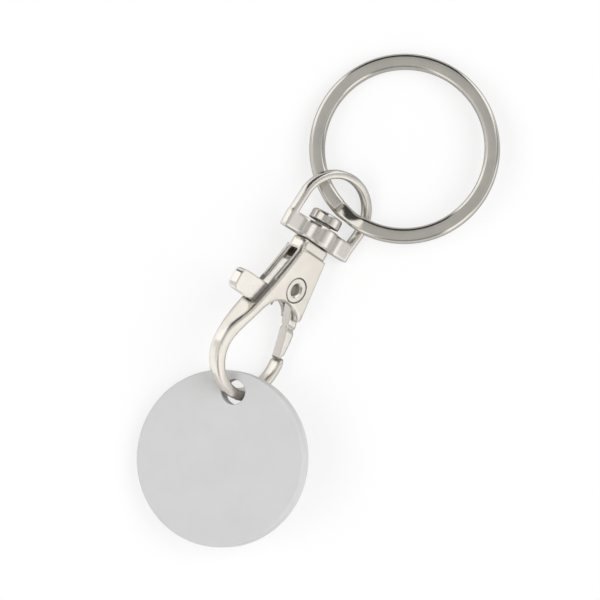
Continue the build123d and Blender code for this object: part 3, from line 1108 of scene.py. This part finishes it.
@dataclass
class Studio:
    """White table, soft light and the camera straight above, with the sky's angles in degrees."""

    room_level: float = 0.72
    panels: tuple[SkyPanel, ...] = (
        SkyPanel(0.0, 200.0, 72.0, 100.0, 0.5),
        SkyPanel(0.0, 200.0, 83.0, 100.0, 0.38, end_fade=3.0),
        SkyPanel(21.0, 32.0, 42.0, 66.0, 0.42),
        SkyPanel(40.0, 13.0, 8.0, 66.0, 0.36, end_fade=4.0),
        SkyPanel(299.0, 28.0, 24.0, 72.0, 0.3),
        SkyPanel(121.0, 32.0, 5.0, 70.0, 0.06, end_fade=4.0),
        SkyPanel(172.0, 17.0, -10.0, 62.0, 1.15),
        SkyPanel(74.0, 15.0, -10.0, 68.0, 1.2),
        SkyPanel(258.0, 11.0, 2.0, 62.0, 1.1),
        SkyPanel(338.5, 14.0, -10.0, 62.0, 1.15, side_fade=5.0),
        SkyPanel(8.0, 20.0, -10.0, 22.0, 1.1),
    )
    lamps: tuple[SoftLamp, ...] = (
        SoftLamp("main_softbox", 35.0, 55.0, 0.7, 4.6),
        SoftLamp("fill_softbox", 215.0, 55.0, 0.5, 2.4),
    )
    table_width: float = 1.6
    view_width: float = 78.6 * MILLIMETRE
    view_level: float = 4.5 * MILLIMETRE
    view_middle: tuple[float, float] = (-2.383 * MILLIMETRE, -0.9075 * MILLIMETRE)
    view_turn: float = math.radians(-29.0)
    camera_height: float = 1.0
    sensor_width: float = 36.0
    nearest_view: float = 0.01
    table_white: float = 0.9
    table_roughness: float = 0.9
    table_lift: float = 0.7
    shade_middle: Place = (3.0 * MILLIMETRE, 22.0 * MILLIMETRE, 0.0)
    shade_inner: float = 25.0 * MILLIMETRE
    shade_outer: float = 50.0 * MILLIMETRE
    shade_level: float = 0.5

    def build(self) -> None:
        """Make the table, the light and the camera."""
        self.table()
        self.world()
        self.softboxes()
        self.camera()

    def table(self) -> None:
        """Make the table: white with a faint shadow, but greyer where metal mirrors it close by."""
        deselect_all()
        bpy.ops.mesh.primitive_plane_add(size=self.table_width, location=(0.0, 0.0, 0.0))
        top = bpy.context.object
        top.name = "table_top"
        made = bpy.data.materials.new("white_table")
        made.use_nodes = True
        sheet = NodeSheet(made.node_tree)
        shader = made.node_tree.nodes["Principled BSDF"]
        light_path = sheet.add("LightPath").outputs
        place = sheet.add("TexCoord").outputs["Object"]
        from_spot = sheet.add("VectorMath", {0: place, 1: self.shade_middle}, operation="DISTANCE")
        away = from_spot.outputs["Value"]
        shade = sheet.remap(away, self.shade_inner, self.shade_outer, 1.0, 0.0)
        mirrored = sheet.math("MULTIPLY", shade, light_path["Is Glossy Ray"])
        tone = sheet.mix(mirrored, grey(self.table_white), grey(self.shade_level))
        sheet.link(tone, shader.inputs["Base Color"])
        shader.inputs["Roughness"].default_value = self.table_roughness
        shader.inputs["Specular IOR Level"].default_value = 0.0
        glow = sheet.add("Emission", {"Color": grey(1.0), "Strength": 1.0}).outputs[0]
        seen = sheet.math("MULTIPLY", light_path["Is Camera Ray"], self.table_lift)
        mixed = sheet.add("MixShader", {0: seen, 1: shader.outputs[0], 2: glow})
        out = made.node_tree.nodes["Material Output"]
        sheet.link(mixed.outputs[0], out.inputs["Surface"])
        top.data.materials.append(made)

    def world(self) -> None:
        """Make the room's light, an even grey with soft panels of light and shade in it."""
        world = bpy.data.worlds.new("studio")
        bpy.context.scene.world = world
        world.use_nodes = True
        world.node_tree.nodes.clear()
        sheet = NodeSheet(world.node_tree)
        place = sheet.add("TexCoord").outputs["Generated"]
        colour = sheet.add("RGB").outputs[0]
        colour.default_value = grey(self.room_level)
        parts = sheet.add("SeparateXYZ", {0: place}).outputs
        heading = sheet.math("DEGREES", sheet.math("ARCTAN2", parts["Y"], parts["X"]))
        elevation = sheet.math("DEGREES", sheet.math("ARCSINE", parts["Z"]))
        for panel in self.panels:
            share = panel.share(sheet, heading, elevation)
            colour = sheet.mix(share, colour, grey(panel.level))
        seen = sheet.add("LightPath").outputs["Is Camera Ray"]
        colour = sheet.mix(seen, colour, grey(1.0))
        back = sheet.add("Background", {"Color": colour, "Strength": 1.0})
        out = sheet.add("OutputWorld")
        sheet.link(back.outputs[0], out.inputs["Surface"])

    def softboxes(self) -> None:
        """Make the soft lamps that light the coin and the table, and that no metal mirrors."""
        for lamp in self.lamps:
            towards = lamp.direction()
            light = bpy.data.lights.new(lamp.name, "AREA")
            light.shape = "SQUARE"
            light.size = lamp.width
            light.energy = lamp.watts
            holder = bpy.data.objects.new(lamp.name, light)
            holder.location = towards * self.camera_height
            holder.rotation_euler = towards.to_track_quat("Z", "Y").to_euler()
            holder.visible_glossy = False
            bpy.context.scene.collection.objects.link(holder)

    def camera(self) -> None:
        """Put the camera straight above, turned as the photograph is."""
        lens = bpy.data.cameras.new("overhead")
        lens.sensor_width = self.sensor_width
        lens.lens = self.sensor_width * (self.camera_height - self.view_level) / self.view_width
        lens.clip_start = self.nearest_view
        holder = bpy.data.objects.new("overhead_camera", lens)
        holder.location = (*self.view_middle, self.camera_height)
        holder.rotation_euler = (0.0, 0.0, -self.view_turn)
        bpy.context.scene.collection.objects.link(holder)
        bpy.context.scene.camera = holder


def main() -> None:
    """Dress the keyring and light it."""
    logging.basicConfig(level=logging.INFO, format="%(name)s: %(message)s")
    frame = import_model()
    effects = SharedEffects()
    effects.build()
    Clasp().build(frame, effects)
    Gate().build(frame, effects)
    Swivel().build(frame, effects)
    SplitRing().build(frame, effects)
    TrolleyCoin().build(frame, effects)
    Studio().build()
    bpy.context.scene.view_settings.view_transform = "Standard"


if __name__ == "__main__":
    main()
